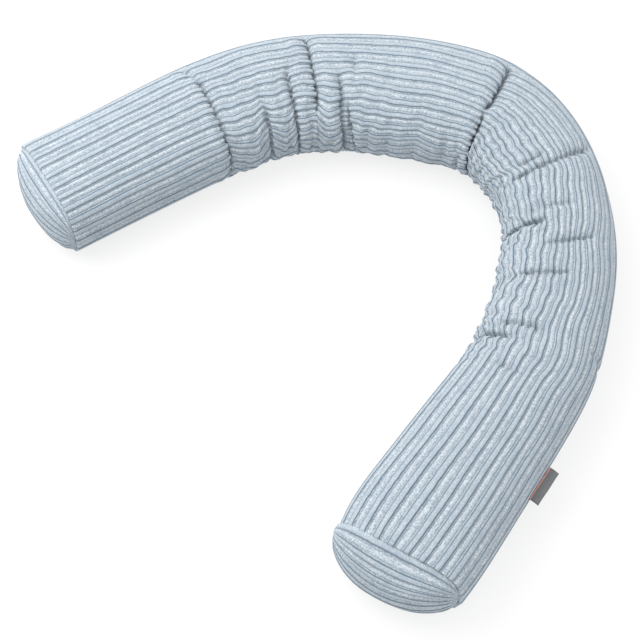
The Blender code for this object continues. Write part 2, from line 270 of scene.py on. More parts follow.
RIPPLES = (
    # height, metres a wave, waves round the tube, radians of wander
    (0.0017, 0.027, 5.0, 1.6),
    (0.0007, 0.015, -9.0, 1.2),
)
RIPPLE_WAVES = 3.1
RIPPLE_TURNS = 1.5
RIPPLE_PACE = 29.0
WOBBLE = (0.07, 0.038, 5.0)
SWAGS = (
    # metres along from and to, shift in wale pairs, rise in the middle
    (0.290, 0.374, 0.7, 0.004),
    (0.374, 0.437, 0.8, 0.004),
    (0.476, 0.528, 0.8, 0.005),
    (0.556, 0.670, 0.3, 0.000),
    (0.670, 0.800, 0.4, 0.000),
    (0.812, 0.940, 0.7, 0.000),
    (0.940, 1.058, 0.7, 0.002),
    (1.060, 1.160, 0.8, 0.003),
    (1.160, 1.288, 0.8, 0.003),
)
SWAG_ROUND = 0.72
SWAG_SPREAD = 0.14
SWAG_LEVEL = 0.5
LEFT_SKEW = 0.05
NEAR_SKEW = 0.06
SKEW_REACH = 0.20
EDGE_ROLL = 0.0020
EDGE_REACH = 0.007
EDGE_WALES = 0.6
RING_COUNT = 380
BEND_TIMES = 2.2
CREASE_TIMES = 6.0
CREASE_RINGS_REACH = 0.009
END_TIMES = 9.0
WIDE_COLUMNS = 9
NARROW_COLUMNS = 4
FLOOR_ROUND = 0.13
COARSE_COLUMNS = 88
BEND_REACH = 0.05
SPARE_CLOTH = 0.20
SPARE_ROUND = 0.72
SPARE_REACH = 0.16
SWELL_REACH = 0.035
SETTLE_FRAMES = 24
SETTLE_CAP = 0.010
HELD_DEPTH = 0.002
HELD_END = 0.03
HELD_FLOOR = 0.0005
LABEL_MIDDLE = 1.448
LABEL_ROUND = 0.25
LABEL_HELD_ALONG = 0.05
LABEL_HELD_ROUND = 0.08
LEAN_LEAST = 0.5
LEAN_BY_WALE = 0.7
STEP = 0.001
ALONG = np.linspace(0.0, SLEEVE_LENGTH, int(round(SLEEVE_LENGTH / STEP)) + 1)


def running_mean(values, reach):
    """Each value becomes the mean of those within reach of it, the ends carried on in a straight line."""
    half = int(round(reach / STEP))
    before = 2 * values[0] - values[half:0:-1]
    after = 2 * values[-1] - values[-2 : -half - 2 : -1]
    padded = np.concatenate([before, values, after])
    return np.convolve(padded, np.full(2 * half + 1, 1 / (2 * half + 1)), mode="valid")


def eased(rows, column):
    """A table's column at every step along: straight lines between its rows, their corners rounded off."""
    table = np.array(rows)
    straight = np.interp(ALONG, table[:, 0], table[:, column])
    return running_mean(running_mean(straight, EASE_REACH), EASE_REACH)


HEADING = np.radians(eased(ROUTE, 1))
SHAPE = [eased(BODY, column) for column in range(1, 5)]
MIDDLE_X = ROUTE_START[0] + np.concatenate([[0.0], np.cumsum(np.cos(HEADING[:-1]))]) * STEP
MIDDLE_Y = ROUTE_START[1] + np.concatenate([[0.0], np.cumsum(np.sin(HEADING[:-1]))]) * STEP


def section(turn, outer, inner, height, squareness):
    """A point of the cross-section: a rounded oval, across = half width times a power of the sine.

    Up is a power of the cosine over or under the widest line, and the underside is cut flat later.
    """
    angle = 2 * np.pi * turn
    down = np.cos(angle)
    aside = np.sin(angle)
    power = np.where(down > 0, UNDER_POWER, squareness)
    across = np.where(aside > 0, outer, -inner) * np.abs(aside) ** (2 / power)
    reach = np.where(down > 0, -(BELOW_WIDEST * height + PRESSED_IN), (1 - BELOW_WIDEST) * height)
    return across, BELOW_WIDEST * height + reach * np.abs(down) ** (2 / power)


TURNS = np.linspace(0.0, 1.0, 2001)


def shares_round(body):
    """The share of the way round a body's section at each of TURNS."""
    passed = np.concatenate([[0.0], np.cumsum(np.hypot(*np.diff(section(TURNS, *body))))])
    return passed / passed[-1]


ROUND_SHARES = shares_round(ROUND_BODY)
SQUARE_SHARES = shares_round(SQUARE_BODY)


def body_at(along):
    """The body's outer and inner half widths, its height and its squareness at a metre mark."""
    return [np.interp(along, ALONG, column) for column in SHAPE]


def turn_at(around, squareness):
    """The turn at a share of the cloth gone round, between those of a round and of a square section."""
    mix = (squareness - ROUND_BODY[3]) / (SQUARE_BODY[3] - ROUND_BODY[3])
    soft = np.interp(around % 1.0, ROUND_SHARES, TURNS)
    return soft + mix * (np.interp(around % 1.0, SQUARE_SHARES, TURNS) - soft)


def even_section(around, along):
    """The cross-section by the share of cloth gone round, and the direction that faces out of it."""
    body = body_at(along)
    ahead = section(turn_at(around + NORMAL_SIDE, body[3]), *body)
    behind = section(turn_at(around - NORMAL_SIDE, body[3]), *body)
    run_across = ahead[0] - behind[0]
    run_up = ahead[1] - behind[1]
    run = np.hypot(run_across, run_up)
    across, up = section(turn_at(around, body[3]), *body)
    return across, up, run_up / run, -run_across / run


def creases(along, around):
    """Broad rise at the creases, depth of their sharp troughs, and how far their lips lean over these.

    A trough is a broad bell curve with a sharp one in it, between two soft lips. Its near side leans
    forward over it by the lap, or its far side back where the lap is below nought.
    """
    rise = np.zeros(np.broadcast(along, around).shape)
    sharp = np.zeros_like(rise)
    lean = np.zeros_like(rise)
    for start, round_start, end, round_end, depth, width, near_lip, far_lip, lap in CREASES:
        share = (around - round_start) / (round_end - round_start)
        run_on = np.clip(share, -CREASE_RUN_ON, 1 + CREASE_RUN_ON)
        offset = (along - start - (end - start) * run_on) / width
        within = np.clip((around - round_start) / CREASE_FADE, 0, 1)
        within *= np.clip((round_end - around) / CREASE_FADE, 0, 1)
        within *= within * (3 - 2 * within)
        near = near_lip * np.exp(-(((offset + LIP_PLACE) / LIP_SPREAD) ** 2))
        far = far_lip * np.exp(-(((offset - LIP_PLACE) / LIP_SPREAD) ** 2))
        broad = (1 - SHARP_SHARE) * depth * np.exp(-((offset / BROAD_SPREAD) ** 2))
        rise += within * (near + far - broad)
        trough = SHARP_SHARE * depth * np.exp(-((np.abs(offset) / SHARP_SPREAD) ** SHARP_POWER))
        sharp = np.maximum(sharp, within * trough)
        side = offset + np.sign(lap) * LAP_PLACE
        lean += within * lap * np.exp(-((side / LAP_SPREAD) ** 2))
    return rise, sharp, lean


def pucker_rise(along, around):
    """Small gathers across the inner side of the bend, uneven in pitch, deepest at the inside line."""
    ends = np.clip((along - PUCKER_START) / PUCKER_FADE, 0, 1)
    ends = ends * np.clip((PUCKER_END - along) / PUCKER_FADE, 0, 1)
    inner = np.exp(-(((around - PUCKER_ROUND) / PUCKER_SPREAD) ** 2))
    phase = np.pi * along / PUCKER_PITCH + PUCKER_SLANT * around
    for turn, pace, start in WANDERS:
        phase = phase + turn * np.sin(pace * along + start)
    return ends * inner * PUCKER_DEPTH * (np.abs(np.sin(phase)) ** PUCKER_POWER - PUCKER_MEAN)


def swags(along, around):
    """Between two folds the inner cloth hangs in a swag: how far its wales sink, and how far it rises."""
    inner = np.exp(-(((around - SWAG_ROUND) / SWAG_SPREAD) ** 2))
    sink = np.zeros(np.broadcast(along, around).shape)
    rise = np.zeros_like(sink)
    for start, end, shift, height in SWAGS:
        arch = np.sin(np.pi * np.clip((along - start) / (end - start), 0, 1))
        sink += inner * shift * arch
        rise += inner * height * (arch - SWAG_LEVEL * (arch > 0))
    return sink / WALE_PAIRS, rise


def rumpled(along, around):
    """How rumpled the cloth is: nought outside, and by the table RUMPLED on the inner half."""
    low, high = RUMPLE_ROUND
    inner = np.clip((around - low) / (high - low), 0, 1)
    table = np.array(RUMPLED)
    return np.interp(along, table[:, 0], table[:, 1]) * inner * inner * (3 - 2 * inner)


def ripple_rise(along, around):
    """Short waves across the wales where the inner cloth is too long for its place."""
    rise = np.zeros(np.broadcast(along, around).shape)
    for height, length, waves, wander in RIPPLES:
        drift = wander * np.sin(2 * np.pi * (RIPPLE_WAVES * along + RIPPLE_TURNS * waves * around))
        drift = drift + wander * np.sin(RIPPLE_PACE * along)
        rise += height * np.sin(2 * np.pi * (along / length + waves * around) + drift)
    return rise * rumpled(along, around)


def sway(along, around):
    """How far the wales wander round the tube, in shares.

    Slow waves, the bell curves of SWAYS, a wobble where it is rumpled, and a sine that draws the wales
    together on the inner side.
    """
    slow = np.zeros(np.broadcast(along, around).shape)
    for shift, length, waves in SLOW_WAVES:
        slow += shift * np.sin(2 * np.pi * (along / length + waves * around))
    bend = np.clip((along - PUCKER_START) / PUCKER_FADE, 0, 1)
    bend = bend * np.clip((PUCKER_END - along) / PUCKER_FADE, 0, 1)
    slow *= ARM_SHARE + (1 - ARM_SHARE) * bend
    for centre, height, reach_along, reach_round, shift in SWAYS:
        nearness = ((along - centre) / reach_along) ** 2 + ((around - height) / reach_round) ** 2
        slow += shift * np.exp(-nearness)
    shift, length, waves = WOBBLE
    slow += shift * rumpled(along, around) * np.sin(2 * np.pi * (along / length + waves * around))
    from_end = np.clip(np.minimum(along, SLEEVE_LENGTH - along) / STEADY_END, 0, 1)
    table = np.array(DRAWN_IN)
    closer = np.interp(along, table[:, 0], table[:, 1])
    drawn = closer * np.sin(2 * np.pi * (around - DRAWN_FROM)) / (2 * np.pi)
    return slow * from_end / WALE_PAIRS + drawn


def edge_roll(along):
    """How far the cloth has turned in near either sewn end: a quarter round of depth EDGE_ROLL."""
    from_end = np.clip(np.minimum(along, SLEEVE_LENGTH - along) / EDGE_REACH, 0, 1)
    return EDGE_ROLL * (1 - np.sqrt(1 - (1 - from_end) ** 2))


def place(along, across, up, forward):
    """World point: so far across the route, so far up, and so far ahead along it.

    Both ends are cut a little askew: longer on the inner side of the U than on the outer.
    """
    askew = LEFT_SKEW * np.clip(1 - along / SKEW_REACH, 0, 1) ** 2
    askew = askew - NEAR_SKEW * np.clip(1 - (SLEEVE_LENGTH - along) / SKEW_REACH, 0, 1) ** 2
    forward = forward + askew * across
    heading = np.interp(along, ALONG, HEADING)
    x = np.interp(along, ALONG, MIDDLE_X) + forward * np.cos(heading) - across * np.sin(heading)
    y = np.interp(along, ALONG, MIDDLE_Y) + forward * np.sin(heading) + across * np.cos(heading)
    return np.stack(np.broadcast_arrays(x, y, up), axis=-1)


def bare_sleeve(along, around):
    """The sleeve without its wales and sharp troughs: the oval section with what is raised on it."""
    sink, swag_rise = swags(along, around)
    around = around + sway(along, around) + sink
    across, up, out_across, out_up = even_section(around, along)
    rise, sharp, _ = creases(along, around)
    rise = rise + pucker_rise(along, around) + swag_rise - edge_roll(along)
    up = np.maximum(up + out_up * rise, 0.0)
    return place(along, across + out_across * rise, up, 0.0), sharp


def ring_marks():
    """Metre marks of the rings: close in the bend, closer at the creases and at the turned-in ends."""
    density = np.where((ALONG > PUCKER_START) & (ALONG < PUCKER_END), BEND_TIMES, 1.0)
    for crease in CREASES:
        middle = (crease[0] + crease[2]) / 2
        reach = CREASE_RINGS_REACH + abs(crease[2] - crease[0]) / 2
        density = np.maximum(density, CREASE_TIMES * np.exp(-(((ALONG - middle) / reach) ** 4)))
    from_end = np.minimum(ALONG, SLEEVE_LENGTH - ALONG)
    density = density + END_TIMES * np.exp(-((from_end / EDGE_REACH) ** 2))
    passed = np.concatenate([[0.0], np.cumsum((density[1:] + density[:-1]) / 2)])
    return np.interp(np.linspace(0.0, 1.0, RING_COUNT), passed / passed[-1], ALONG)


def tube_corners(rows, columns):
    """Row and column of each quad's four corners, the columns counted on past the join."""
    row, column = np.meshgrid(np.arange(rows - 1), np.arange(columns), indexing="ij")
    corner_rows = np.stack([row, row, row + 1, row + 1], axis=-1).reshape(-1, 4)
    corner_columns = np.stack([column, column + 1, column + 1, column], axis=-1).reshape(-1, 4)
    return corner_rows, corner_columns


def settle(rings, start, spare, held):
    """Lets the stuffed cloth settle with Blender's cloth, from where it starts.

    Pressure stands for the filling. The cloth is up to SPARE_CLOTH longer than it starts, by the
    share in spare. Held points stay where they are. The even swelling over SWELL_REACH is taken out
    again, so the body keeps its girth, and no point ends further than SETTLE_CAP away.
    """
    rows, columns = start.shape[:2]
    corner_rows, corner_columns = tube_corners(rows, columns)
    faces = (corner_rows * columns + corner_columns % columns).tolist()
    hubs = [rows * columns, rows * columns + 1]
    for hub, row, order in ((hubs[0], 0, -1), (hubs[1], rows - 1, 1)):
        for column in range(columns):
            pair = (row * columns + column, row * columns + (column + 1) % columns)
            faces.append((hub, *pair[::order]))
    points = np.vstack([start.reshape(-1, 3), start[0].mean(axis=0), start[-1].mean(axis=0)])
    mesh = bpy.data.meshes.new("settling")
    mesh.from_pydata(points.tolist(), [], faces)
    thing = bpy.data.objects.new("settling", mesh)
    bpy.context.scene.collection.objects.link(thing)
    group = thing.vertex_groups.new(name="held")
    group.add(np.flatnonzero(held.ravel()).tolist() + hubs, 1.0, "REPLACE")
    group = thing.vertex_groups.new(name="spare")
    tenths = np.round(spare.ravel() * 10).astype(int)
    for tenth in range(1, 11):
        group.add(np.flatnonzero(tenths == tenth).tolist(), tenth / 10, "REPLACE")
    cloth = thing.modifiers.new("settle", "CLOTH")
    cloth.settings.quality = 4
    cloth.settings.mass = 0.3
    cloth.settings.tension_stiffness = 25.0
    cloth.settings.compression_stiffness = 25.0
    cloth.settings.shear_stiffness = 5.0
    cloth.settings.bending_stiffness = 0.5
    cloth.settings.air_damping = 5.0
    cloth.settings.vertex_group_mass = "held"
    cloth.settings.vertex_group_shrink = "spare"
    cloth.settings.shrink_min = 0.0
    cloth.settings.shrink_max = -SPARE_CLOTH
    cloth.settings.use_pressure = True
    cloth.settings.uniform_pressure_force = 4.0
    cloth.settings.effector_weights.gravity = 0.0
    cloth.point_cache.frame_end = SETTLE_FRAMES
    for step in range(1, SETTLE_FRAMES + 1):
        bpy.context.scene.frame_set(step)
    settled = thing.evaluated_get(bpy.context.evaluated_depsgraph_get()).data
    moved = np.empty(len(points) * 3)
    settled.vertices.foreach_get("co", moved)
    bpy.data.objects.remove(thing)
    bpy.context.scene.frame_set(1)
    shift = moved.reshape(-1, 3)[: rows * columns].reshape(start.shape) - start
    nearness = np.exp(-(((rings[:, None] - rings[None, :]) / SWELL_REACH) ** 2))
    nearness /= nearness.sum(axis=1, keepdims=True)
    shift -= np.tensordot(nearness, shift, axes=1)
    length = np.linalg.norm(shift, axis=-1, keepdims=True)
    return start + shift * SETTLE_CAP * np.tanh(length / SETTLE_CAP) / np.maximum(length, 1e-9)


def between_columns(grid, around):
    """Values between the coarse columns: the cubic through the four nearest, joined round the tube."""
    columns = grid.shape[1]
    position = around * columns
    first = np.floor(position).astype(int)
    share = (position - first)[None, :, None]
    before, here, after, beyond = (grid[:, (first + step) % columns] for step in (-1, 0, 1, 2))
    slope_here = (after - before) / 2
    slope_after = (beyond - here) / 2
    rise = after - here
    curve = slope_here + slope_after - 2 * rise
    return here + share * (slope_here + share * (3 * rise - 2 * slope_here - slope_after + share * curve))


def grid_normals(grid, closed):
    """The outward direction at each point: the cross product of its steps along the two grid lines."""
    along = np.gradient(grid, axis=0)
    if closed:
        beside = np.roll(grid, -1, axis=1) - np.roll(grid, 1, axis=1)
    else:
        beside = np.gradient(grid, axis=1)
    normal = np.cross(beside, along)
    return normal / np.maximum(np.linalg.norm(normal, axis=-1, keepdims=True), 1e-12)


def wale_rise(pairs):
    """Height of the ribs after so many wale pairs: a wide rounded ridge, then a narrow one."""
    share = pairs % 1.0
    wide = np.sin(np.pi * np.clip(share / WIDE_SHARE, 0, 1)) ** WALE_POWER * WIDE_RISE
    narrow = np.sin(np.pi * np.clip((share - WIDE_SHARE) / (1 - WIDE_SHARE), 0, 1)) ** WALE_POWER
    return np.where(share < WIDE_SHARE, wide, narrow * NARROW_RISE)


def wale_marks():
    """Marks across one pair of wales, closest to the valleys on either side of each."""
    wide = WIDE_SHARE * (0.5 - 0.5 * np.cos(np.pi * np.arange(WIDE_COLUMNS) / WIDE_COLUMNS))
    narrow = 0.5 - 0.5 * np.cos(np.pi * np.arange(NARROW_COLUMNS) / NARROW_COLUMNS)
    return np.concatenate([wide, WIDE_SHARE + (1 - WIDE_SHARE) * narrow])


def wale_columns():
    """Column marks round the sleeve in wale pairs, only four a pair where the cloth lies on the floor."""
    few = np.array([0.0, WIDE_SHARE / 2, WIDE_SHARE, (1 + WIDE_SHARE) / 2])
    columns = []
    for pair in range(WALE_PAIRS):
        from_bottom = min(pair + 0.5, WALE_PAIRS - pair - 0.5) / WALE_PAIRS
        columns.append(pair + (few if from_bottom < FLOOR_ROUND else wale_marks()))
    return np.concatenate(columns)


def add_piece(name, points, faces, corner_uv):
    """An object at the origin from whole arrays of points, faces and a UV pair for each face corner."""
    mesh = bpy.data.meshes.new(name)
    mesh.from_pydata(points.tolist(), [], faces)
    layer = mesh.uv_layers.new(name="cloth")
    layer.data.foreach_set("uv", np.asarray(corner_uv, dtype=float).ravel())
    mesh.shade_smooth()
    mesh.update()
    thing = bpy.data.objects.new(name, mesh)
    bpy.context.scene.collection.objects.link(thing)
    return thing


def make_sleeve():
    """The tube: the settled cloth, its wales raised and its creases sunk along its outward direction.

    At a crease the wide wales lean furthest over, and at either end they are the last to turn in.
    """
    rings = ring_marks()
    coarse = np.arange(COARSE_COLUMNS) / COARSE_COLUMNS
    start, sharp = bare_sleeve(rings[:, None], coarse[None, :])
    bend = np.interp(rings, ALONG, running_mean(np.abs(np.gradient(HEADING, STEP)), BEND_REACH))
    inner = np.exp(-(((coarse - SPARE_ROUND) / SPARE_REACH) ** 2))
    spare = np.clip(bend / bend.max(), 0, 1)[:, None] * inner[None, :]
    from_end = np.minimum(rings, SLEEVE_LENGTH - rings)[:, None]
    by_label = (np.abs(rings - LABEL_MIDDLE) < LABEL_HELD_ALONG)[:, None]
    by_label = by_label & (np.abs(coarse - LABEL_ROUND) < LABEL_HELD_ROUND)
    held = (from_end < HELD_END) | (sharp > HELD_DEPTH) | (start[..., 2] < HELD_FLOOR) | by_label
    settled = settle(rings, start, spare, held)
    pairs = wale_columns()
    around = pairs[None, :] / WALE_PAIRS
    bare = between_columns(settled, pairs / WALE_PAIRS)
    from_end = np.minimum(rings, SLEEVE_LENGTH - rings)[:, None]
    closing = np.sqrt(1 - (1 - np.clip(from_end / EDGE_REACH, 0, 1)) ** 2)
    wales = wale_rise(pairs)[None, :]
    sink, _ = swags(rings[:, None], around)
    _, sharp, lean = creases(rings[:, None], around + sway(rings[:, None], around) + sink)
    rise = wales * (EDGE_WALES + (1 - EDGE_WALES) * closing) - VALLEY_DROP - sharp
    rise = rise + ripple_rise(rings[:, None], around)
    points = bare + grid_normals(bare, closed=True) * rise[..., None]
    heading = np.interp(rings, ALONG, HEADING)[:, None]
    lean = lean * (LEAN_LEAST + LEAN_BY_WALE * wales / WIDE_RISE)
    points[..., 0] += lean * np.cos(heading)
    points[..., 1] += lean * np.sin(heading)
    points[..., 2] = np.maximum(points[..., 2], 0.0)
    rows, columns = points.shape[:2]
    corner_rows, corner_columns = tube_corners(rows, columns)
    faces = (corner_rows * columns + corner_columns % columns).tolist()
    pair_marks = np.append(pairs, WALE_PAIRS)
    corner_uv = np.stack([rings[corner_rows], pair_marks[corner_columns]], axis=-1).reshape(-1, 2)
    faces.append(list(range(columns - 1, -1, -1)))
    faces.append(list(range((rows - 1) * columns, rows * columns)))
    caps = [np.column_stack([np.full(columns, rings[row]), pairs]) for row in (0, -1)]
    corner_uv = np.vstack([corner_uv, caps[0][::-1], caps[1]])
    return add_piece("plush_sleeve", points.reshape(-1, 3), faces, corner_uv)


def new_material(name):
    """A material with nodes, its node tree and its shader."""
    material = bpy.data.materials.new(name)
    material.use_nodes = True
    tree = material.node_tree
    return material, tree, tree.nodes["Principled BSDF"]


def add_node(tree, kind, inputs, **settings):
    """A node of this kind with its settings, each input given as a number, a colour or a socket."""
    node = tree.nodes.new(kind)
    for name, value in settings.items():
        setattr(node, name, value)
    for name, value in inputs.items():
        if isinstance(value, bpy.types.NodeSocket):
            tree.links.new(value, node.inputs[name])
        else:
            node.inputs[name].default_value = value
    return node


def maths(tree, operation, first, second=0.0):
    """One step of arithmetic on two numbers or sockets."""
    return add_node(tree, "ShaderNodeMath", {0: first, 1: second}, operation=operation).outputs[0]


def mixed(tree, factor, first, second):
    """The colour that lies a share of the way from the first colour to the second."""
    node = add_node(tree, "ShaderNodeMix", {0: factor}, data_type="RGBA")
    for socket, value in ((node.inputs[6], first), (node.inputs[7], second)):
        if isinstance(value, bpy.types.NodeSocket):
            tree.links.new(value, socket)
        else:
            socket.default_value = value
    return node.outputs[2]


def smooth_step(tree, value, low, high):
    """Nought below low, one above high, and a smooth rise between."""
    inputs = {"Value": value, "From Min": low, "From Max": high}
    return add_node(tree, "ShaderNodeMapRange", inputs, interpolation_type="SMOOTHSTEP").outputs["Result"]


CREST_BLUE = (0.315, 0.352, 0.385, 1.0)
NARROW_BLUE = (0.275, 0.312, 0.346, 1.0)
CURL_HIGHLIGHT_BLUE = (0.450, 0.480, 0.500, 1.0)
# A darker blue for the worn streaks and mottling of the pile. It is also the colour of the painted shade on
# the curls and on the wale flanks.
DARK_TONE_AND_SHADE_BLUE = (0.170, 0.215, 0.255, 1.0)
VALLEY_SHADE_BLUE = (0.055, 0.085, 0.118, 1.0)
DARK_SHADE_REACH = 0.070
SOFT_SHADE_REACH = 0.070
SOFT_SHADE_SHARE = 0.85
FLANK_SHADE_SHARE = 0.25
FLANK_SHADE_REACH = (0.02, 0.22)
WAVER_SCALE = 110.0
WAVER_PAIRS = 0.07
PATTERN_SHIFT = 0.5
SMOOTH_NARROW = 0.45
STREAK_STRETCH = (38.0, 3.5, 1.0)
STREAK_REACH = (0.38, 0.68)
MOTTLE_SCALE = 45.0
MOTTLE_REACH = (0.35, 0.75)
WORN_SHARE = 0.35
SPECKLE_SCALE = 420.0
CURL_SHADE_REACH = (0.50, 0.66)
CURL_SHADE_SHARE = 0.75
LIT_REACH = (0.50, 0.34)
LIT_SHARE = 0.60
CURL_SCALE = 380.0
CURL_DEPTH = 0.0014


def make_corduroy():
    """Plush corduroy on the cloth's own coordinates: painted shade lines, smooth narrow bands, curled wide
    ones.

    The bands are counted in wale pairs as the ridges are, and lie PATTERN_SHIFT pairs on from them.
    """
    material, tree, shader = new_material("pale blue corduroy")
    cloth = add_node(tree, "ShaderNodeUVMap", {}, uv_map="cloth").outputs["UV"]
    split = add_node(tree, "ShaderNodeSeparateXYZ", {"Vector": cloth})
    body = add_node(tree, "ShaderNodeTexCoord", {}).outputs["Object"]
    waver = add_node(tree, "ShaderNodeTexNoise", {"Vector": body, "Scale": WAVER_SCALE, "Detail": 3.0})
    waver = maths(tree, "MULTIPLY", waver.outputs["Fac"], WAVER_PAIRS)
    waver = maths(tree, "ADD", waver, PATTERN_SHIFT)
    pairs = maths(tree, "ADD", split.outputs["Y"], maths(tree, "SUBTRACT", waver, WAVER_PAIRS / 2))
    share = maths(tree, "FRACT", pairs)
    from_joint = maths(tree, "MINIMUM", share, maths(tree, "SUBTRACT", 1.0, share))
    from_middle = maths(tree, "ABSOLUTE", maths(tree, "SUBTRACT", share, WIDE_SHARE))
    # Painted shade lines: a thin dark one where each wide band ends and a softer one where each pair begins.
    # They stand for the shade in the valleys between the wales.
    dark = maths(tree, "SUBTRACT", 1.0, smooth_step(tree, from_middle, 0.0, DARK_SHADE_REACH))
    soft = maths(tree, "SUBTRACT", 1.0, smooth_step(tree, from_joint, 0.0, SOFT_SHADE_REACH))
    valley_shade = maths(tree, "MAXIMUM", dark, maths(tree, "MULTIPLY", soft, SOFT_SHADE_SHARE))
    narrow = maths(tree, "GREATER_THAN", share, WIDE_SHARE)
    curled = maths(tree, "SUBTRACT", 1.0, maths(tree, "MULTIPLY", narrow, SMOOTH_NARROW))
    streaks = add_node(tree, "ShaderNodeVectorMath", {0: cloth, 1: STREAK_STRETCH}, operation="MULTIPLY")
    streak = add_node(tree, "ShaderNodeTexNoise", {"Vector": streaks.outputs[0], "Scale": 1.0, "Detail": 3.0})
    mottle = add_node(tree, "ShaderNodeTexNoise", {"Vector": body, "Scale": MOTTLE_SCALE, "Detail": 4.0})
    curls = add_node(tree, "ShaderNodeTexVoronoi", {"Vector": body, "Scale": CURL_SCALE}, feature="SMOOTH_F1")
    from_valley = maths(tree, "MINIMUM", from_joint, from_middle)
    # Painted shade on the flanks: the pile darkens towards each painted line, so the wales look rounded under
    # the light.
    flank = maths(tree, "SUBTRACT", 1.0, smooth_step(tree, from_valley, *FLANK_SHADE_REACH))
    speckle = add_node(tree, "ShaderNodeTexNoise", {"Vector": body, "Scale": SPECKLE_SCALE, "Detail": 2.0})
    pile = mixed(tree, narrow, CREST_BLUE, NARROW_BLUE)
    worn = smooth_step(tree, streak.outputs["Fac"], *STREAK_REACH)
    pile = mixed(tree, maths(tree, "MULTIPLY", worn, WORN_SHARE), pile, DARK_TONE_AND_SHADE_BLUE)
    cloudy = smooth_step(tree, mottle.outputs["Fac"], *MOTTLE_REACH)
    pile = mixed(tree, maths(tree, "MULTIPLY", cloudy, WORN_SHARE), pile, DARK_TONE_AND_SHADE_BLUE)
    # Painted shade and painted highlights on the curled pile: dark speckles for the hollows between the
    # curls, light speckles for the curl tops. Both are weaker on the narrow bands.
    curl_shade = maths(tree, "MULTIPLY", smooth_step(tree, speckle.outputs["Fac"], *CURL_SHADE_REACH), curled)
    pile = mixed(tree, maths(tree, "MULTIPLY", curl_shade, CURL_SHADE_SHARE), pile, DARK_TONE_AND_SHADE_BLUE)
    lit = maths(tree, "MULTIPLY", smooth_step(tree, speckle.outputs["Fac"], *LIT_REACH), curled)
    pile = mixed(tree, maths(tree, "MULTIPLY", lit, LIT_SHARE), pile, CURL_HIGHLIGHT_BLUE)
    # The painted flank shade is mixed in here.
    pile = mixed(tree, maths(tree, "MULTIPLY", flank, FLANK_SHADE_SHARE), pile, DARK_TONE_AND_SHADE_BLUE)
    # The painted shade lines are laid over all the rest.
    tree.links.new(mixed(tree, valley_shade, pile, VALLEY_SHADE_BLUE), shader.inputs["Base Color"])
    relief = maths(tree, "MULTIPLY", curls.outputs["Distance"], maths(tree, "MULTIPLY", curled, -1.0))
    bump = add_node(tree, "ShaderNodeBump", {"Height": relief, "Distance": CURL_DEPTH, "Strength": 0.8})
    tree.links.new(bump.outputs["Normal"], shader.inputs["Normal"])
    shader.inputs["Roughness"].default_value = 0.95
    shader.inputs["Specular IOR Level"].default_value = 0.15
    shader.inputs["Sheen Weight"].default_value = 0.20
    shader.inputs["Sheen Roughness"].default_value = 0.5
    return material


corduroy = make_corduroy()
sleeve = make_sleeve()
sleeve.data.materials.append(corduroy)
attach(sleeve, "root")
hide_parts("sleeve")


# End panels
# A round disc of the same corduroy is sewn into each end. The filling pushes it out into a dome. Its
# wales run from side to side and close together at both sides, and the first is half in the top seam.
SEAM_TUCK = 0.004
LEFT_END_CROWN = 0.032
NEAR_END_CROWN = 0.048
END_EDGE = 0.0010
END_CROWN_POWER = 2.2
END_RIM_POWER = 0.75
END_PAIRS = 8
END_SHIFT = 0.35
END_COLUMNS = 160
END_RIB_FADE = 0.08
END_RIB_POWER = 0.35
END_RIM_IN = 0.0035


def merge_points(thing):
    """Points at the same place become one, as where the wales of an end close together."""
    shape = bmesh.new()
    shape.from_mesh(thing.data)
    bmesh.ops.remove_doubles(shape, verts=shape.verts, dist=1e-6)
    shape.to_mesh(thing.data)
    shape.free()


